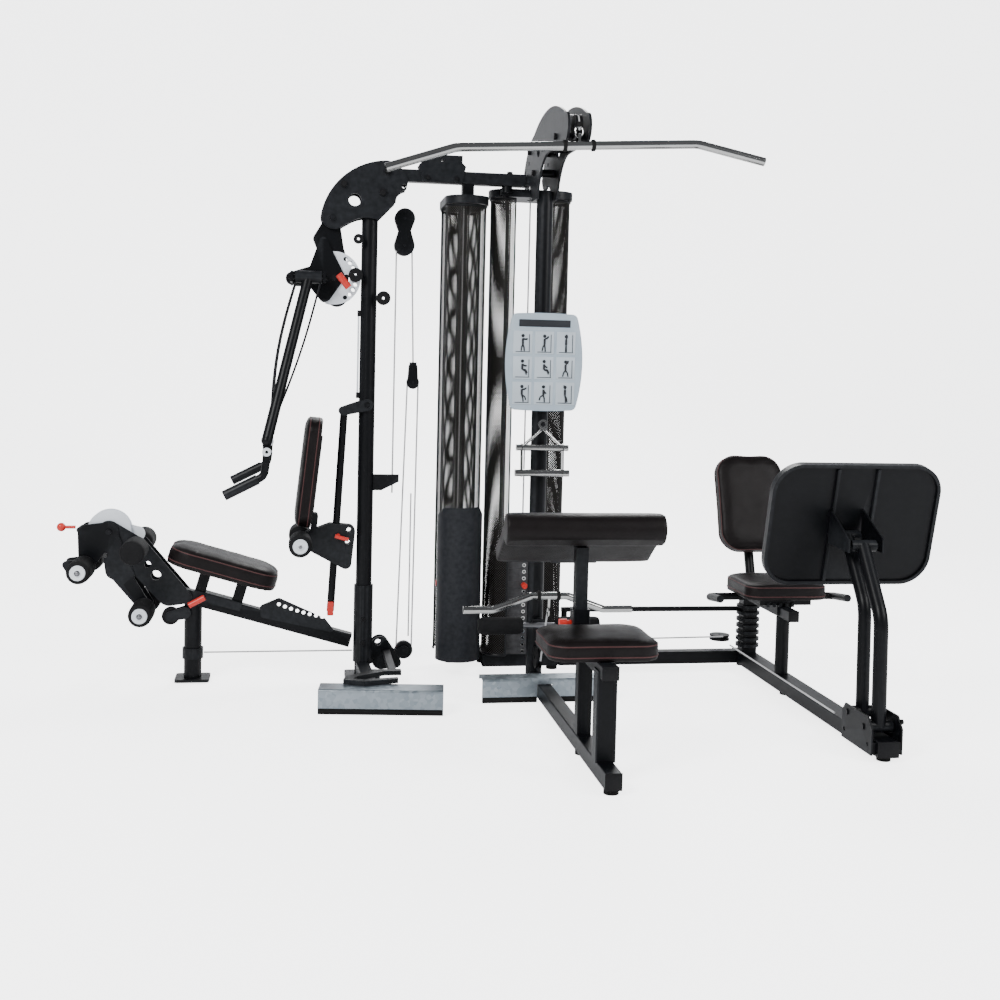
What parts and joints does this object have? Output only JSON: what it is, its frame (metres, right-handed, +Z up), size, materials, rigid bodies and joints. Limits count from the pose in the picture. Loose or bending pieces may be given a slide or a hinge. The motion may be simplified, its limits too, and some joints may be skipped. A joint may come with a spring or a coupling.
{
  "type": "multi station home gym",
  "caption": "Home gym around weight stacks with a press bench and leg developer, a lat pulldown with curl pad, and a leg press.",
  "frame": {"origin": "on the floor under the press tower, centre of its base plate", "axes": "+X along the gym from the press tower towards the leg press, +Y towards the back, +Z up"},
  "size_m": [2.986, 1.68, 2.086],
  "materials": {
    "black_frame": "satin black powder coat",
    "silver_step": "bright galvanised sheet",
    "black_plastic": "moulded black nylon",
    "black_screen": "perforated black sheet",
    "cast_plates": "painted black castings",
    "chrome": "bright chrome",
    "pale_plate": "pale grey painted plate",
    "red_knob": "moulded red plastic",
    "upholstery": "dark leatherette",
    "foam": "closed-cell black foam",
    "placard": "printed pale panel",
    "rubber": "black rubber",
    "zinc": "dark zinc bolts",
    "cable_sheath": "grey nylon sheath over wire"
  },
  "bodies": {
    "root": {"base_frame": "black_frame", "foot_plates": "silver_step", "press_tower": "black_frame", "press_head_plates": "black_frame", "top_beam": "black_frame", "lat_tower": "black_frame", "lat_head_plates": "black_frame", "fixed_pulleys": "black_plastic", "resting_weight_plates": "cast_plates", "stack_guide_rods": "chrome", "stack_screens": "black_screen", "press_stack_cover": "black_plastic", "low_pulley_bracket": "black_frame", "bench_rail": "black_frame", "leg_developer_bracket": "black_frame", "exercise_placard": "placard", "lat_seat_frame": "black_frame", "lat_seat_pad": "upholstery", "fixed_rollers": "foam", "leg_press_frame": "black_frame", "rubber_feet": "rubber", "fasteners": "zinc", "cables": "cable_sheath"},
    "press_yoke": {"press_yoke": "black_frame", "press_sector_plates": "pale_plate"},
    "press_arm_head": {"press_arm_head": "black_frame"},
    "press_arm_pin": {"press_arm_pin": "red_knob"},
    "left_press_arm": {"left_press_arm": "black_frame"},
    "right_press_arm": {"right_press_arm": "black_frame"},
    "left_press_handle": {"left_press_handle": "black_frame"},
    "right_press_handle": {"right_press_handle": "black_frame"},
    "cable_blocks": {"cable_blocks": "black_frame"},
    "press_stack": {"press_weight_plates": "cast_plates"},
    "press_selector": {"press_selector_pin": "red_knob"},
    "lat_stack": {"lat_weight_plates": "cast_plates"},
    "lat_selector": {"lat_selector_pin": "red_knob"},
    "back_support": {"back_support_bar": "black_frame", "lumbar_rollers": "foam"},
    "back_pad": {"back_pad": "upholstery", "back_pad_mount": "black_frame"},
    "back_tilt_lever": {"back_tilt_lever": "red_knob"},
    "back_rack_pin": {"back_rack_pin": "red_knob"},
    "bench_seat": {"seat_carriage": "black_frame", "bench_seat_pad": "upholstery"},
    "bench_seat_knob": {"bench_seat_knob": "red_knob"},
    "leg_lever": {"leg_lever": "black_frame", "leg_cam": "pale_plate", "leg_lever_rollers": "foam"},
    "leg_lever_pin": {"leg_lever_pin": "red_knob"},
    "lat_bar": {"lat_bar": "chrome"},
    "curl_bar": {"curl_bar": "chrome"},
    "row_handle": {"row_handle": "chrome"},
    "curl_pad": {"curl_pad_post": "black_frame", "curl_pads": "upholstery"},
    "curl_post_pin": {"curl_post_pin": "red_knob"},
    "leg_press_arm": {"leg_press_arms": "black_frame"},
    "leg_press_link": {"leg_press_link": "black_frame"},
    "leg_press_footplate": {"leg_press_footplate": "black_frame"},
    "leg_press_seat": {"leg_press_seat_carriage": "black_frame", "leg_press_pads": "upholstery"}
  },
  "joints": [
    {"name": "press_swing", "type": "hinge", "parent": "root", "child": "press_yoke", "pos_m": [-0.139, 0, 1.726], "axis": [0, 1, 0], "range_deg": [0, 35]},
    {"name": "arm_angle", "type": "hinge", "parent": "press_yoke", "child": "press_arm_head", "pos_m": [-0.13, 0, 1.505], "axis": [0, 1, 0], "range_deg": [0, 30]},
    {"name": "press_arm_pin_pull", "type": "slide", "parent": "press_arm_head", "child": "press_arm_pin", "axis": [0, -1, 0], "range_m": [0, 0.012]},
    {"name": "left_arm_splay", "type": "hinge", "parent": "press_arm_head", "child": "left_press_arm", "pos_m": [-0.225, -0.1, 1.5], "axis": [-1, 0, 0], "range_deg": [0, 18]},
    {"name": "right_arm_splay", "type": "hinge", "parent": "press_arm_head", "child": "right_press_arm", "pos_m": [-0.225, 0.1, 1.5], "axis": [1, 0, 0], "range_deg": [0, 18]},
    {"name": "left_handle_swivel", "type": "hinge", "parent": "left_press_arm", "child": "left_press_handle", "pos_m": [-0.362, -0.285, 0.875], "axis": [0, 1, 0], "range_deg": [-15, 25]},
    {"name": "right_handle_swivel", "type": "hinge", "parent": "right_press_arm", "child": "right_press_handle", "pos_m": [-0.362, 0.285, 0.875], "axis": [0, 1, 0], "range_deg": [-15, 25]},
    {"name": "cable_block_travel", "type": "slide", "parent": "root", "child": "cable_blocks", "axis": [0, 0, 1], "range_m": [0, 0.06]},
    {"name": "press_stack_lift", "type": "slide", "parent": "root", "child": "press_stack", "axis": [0, 0, 1], "range_m": [0, 0.45]},
    {"name": "press_selector_pull", "type": "slide", "parent": "press_stack", "child": "press_selector", "axis": [-1, 0, 0], "range_m": [0, 0.06]},
    {"name": "lat_stack_lift", "type": "slide", "parent": "root", "child": "lat_stack", "axis": [0, 0, 1], "range_m": [0, 0.8]},
    {"name": "lat_selector_pull", "type": "slide", "parent": "lat_stack", "child": "lat_selector", "axis": [0, -1, 0], "range_m": [0, 0.06]},
    {"name": "back_support_swing", "type": "hinge", "parent": "root", "child": "back_support", "pos_m": [0, 0, 1.037], "axis": [0, 1, 0], "range_deg": [0, 12]},
    {"name": "back_pad_tilt", "type": "hinge", "parent": "back_support", "child": "back_pad", "pos_m": [-0.24, 0, 0.528], "axis": [0, -1, 0], "range_deg": [0, 12]},
    {"name": "back_tilt_lever_pull", "type": "slide", "parent": "back_support", "child": "back_tilt_lever", "axis": [0, -1, 0], "range_m": [0, 0.012]},
    {"name": "back_rack_pin_pull", "type": "slide", "parent": "back_support", "child": "back_rack_pin", "axis": [0, 0, 1], "range_m": [0, 0.02]},
    {"name": "bench_seat_slide", "type": "slide", "parent": "root", "child": "bench_seat", "axis": [-0.9613, 0, 0.2756], "range_m": [-0.06, 0]},
    {"name": "bench_seat_knob_pull", "type": "slide", "parent": "bench_seat", "child": "bench_seat_knob", "axis": [0, -1, 0], "range_m": [0, 0.012]},
    {"name": "leg_extension", "type": "hinge", "parent": "root", "child": "leg_lever", "pos_m": [-0.928, 0, 0.56], "axis": [0, 1, 0], "range_deg": [0, 85]},
    {"name": "leg_lever_pin_pull", "type": "slide", "parent": "leg_lever", "child": "leg_lever_pin", "axis": [-1, 0, 0], "range_m": [0, 0.012]},
    {"name": "lat_bar_pull", "type": "slide", "parent": "root", "child": "lat_bar", "axis": [0, 0, -1], "range_m": [0, 0.8]},
    {"name": "curl_bar_pull", "type": "slide", "parent": "root", "child": "curl_bar", "axis": [0, 0, 1], "range_m": [0, 0.4]},
    {"name": "row_handle_swing", "type": "hinge", "parent": "root", "child": "row_handle", "pos_m": [0.625, -0.252, 0.985], "axis": [0, 1, 0], "range_deg": [-20, 20]},
    {"name": "curl_pad_height", "type": "slide", "parent": "root", "child": "curl_pad", "axis": [0, 0, 1], "range_m": [0, 0.1]},
    {"name": "curl_post_pin_pull", "type": "slide", "parent": "root", "child": "curl_post_pin", "axis": [-1, 0, 0], "range_m": [0, 0.012]},
    {"name": "leg_press_swing", "type": "hinge", "parent": "root", "child": "leg_press_arm", "pos_m": [1.55, -1.09, 0.095], "axis": [1, 0, 0], "range_deg": [0, 30]},
    {"name": "leg_press_link_swing", "type": "hinge", "parent": "root", "child": "leg_press_link", "pos_m": [1.55, -0.975, 0.11], "axis": [1, 0, 0], "range_deg": [0, 30]},
    {"name": "footplate_level", "type": "hinge", "parent": "leg_press_arm", "child": "leg_press_footplate", "pos_m": [1.55, -0.935, 0.64], "axis": [1, 0, 0], "range_deg": [-30, 0]},
    {"name": "leg_press_seat_slide", "type": "slide", "parent": "root", "child": "leg_press_seat", "axis": [0, -1, 0], "range_m": [0, 0.09]}
  ],
  "couplings": [
    {"joint": "press_stack_lift", "follows": "press_swing", "m_per_rad": 0.7},
    {"joint": "cable_block_travel", "follows": "press_swing", "m_per_rad": 0.09},
    {"joint": "lat_stack_lift", "follows": "lat_bar_pull", "ratio": 1},
    {"joint": "leg_press_link_swing", "follows": "leg_press_swing", "ratio": 1},
    {"joint": "footplate_level", "follows": "leg_press_swing", "ratio": -1}
  ]
}
